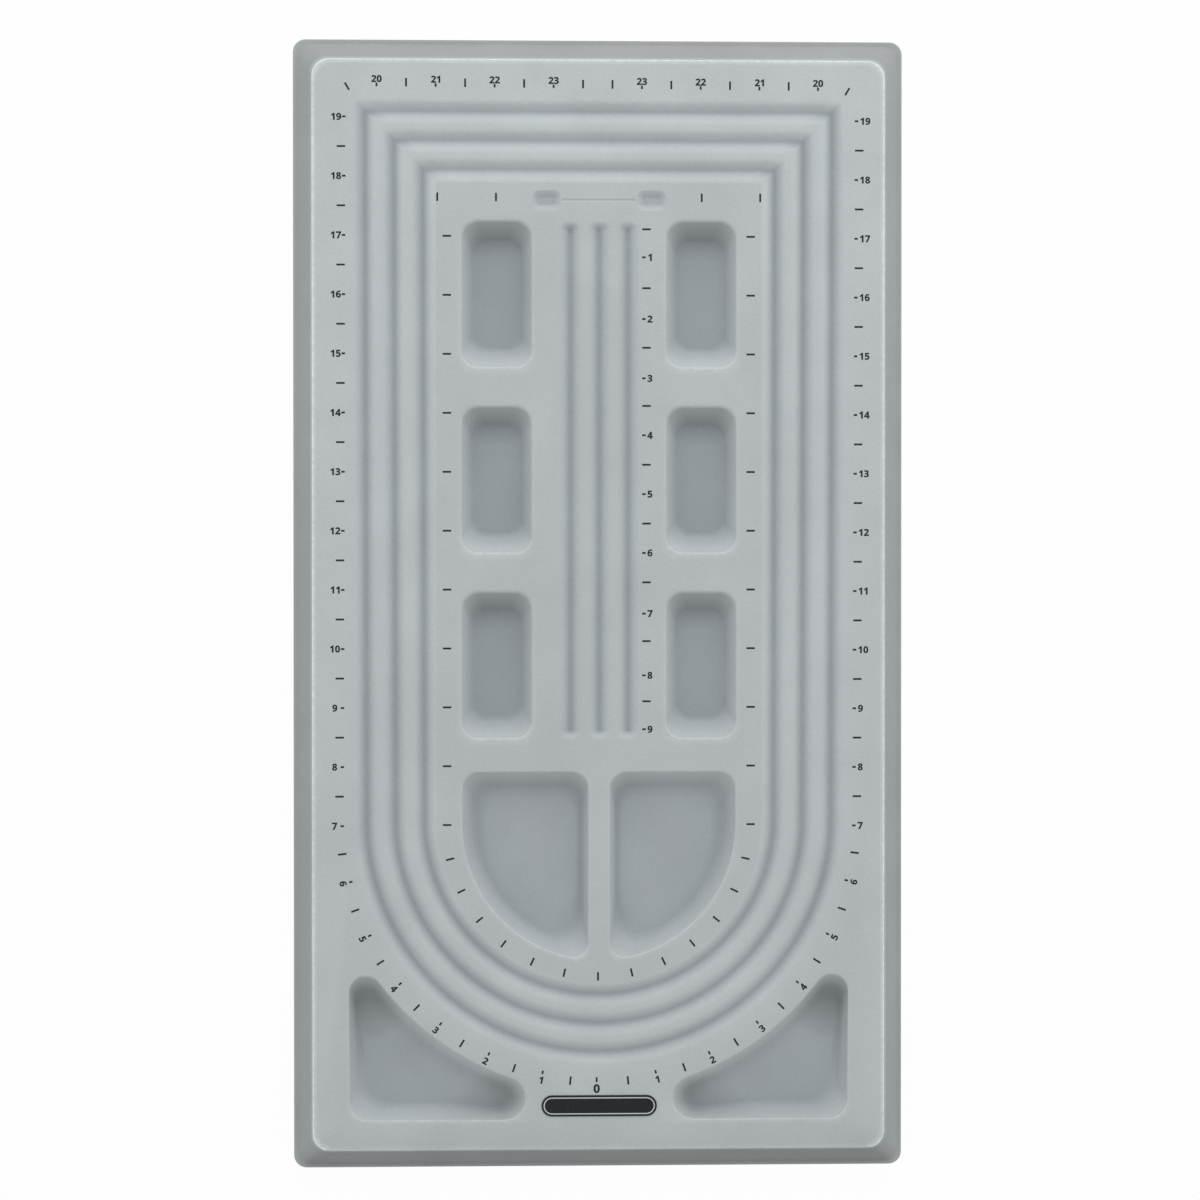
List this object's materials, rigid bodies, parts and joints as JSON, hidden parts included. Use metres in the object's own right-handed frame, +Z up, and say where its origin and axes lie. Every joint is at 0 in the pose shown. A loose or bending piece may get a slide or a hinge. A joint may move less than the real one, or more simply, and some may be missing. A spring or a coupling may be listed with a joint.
{
  "type": "bead board",
  "caption": "Flat flocked tray for laying out strung beads, with U-shaped channels, straight channels, sorting pockets, a needle rest and a printed length scale.",
  "frame": {"origin": "under the middle of the board, on the surface it stands on", "axes": "+X across the board, +Y along it from the badge to the needle rest, +Z up out of the deck"},
  "size_m": [0.2648, 0.49, 0.0131],
  "materials": {
    "sheet": "vacuum-formed grey sheet, satin",
    "flock": "short grey flock pile, matt",
    "print_ink": "black ink, flat"
  },
  "bodies": {
    "root": {"tray_shell": "sheet", "flock_coat": "flock", "badge_plate": "print_ink"}
  },
  "joints": []
}
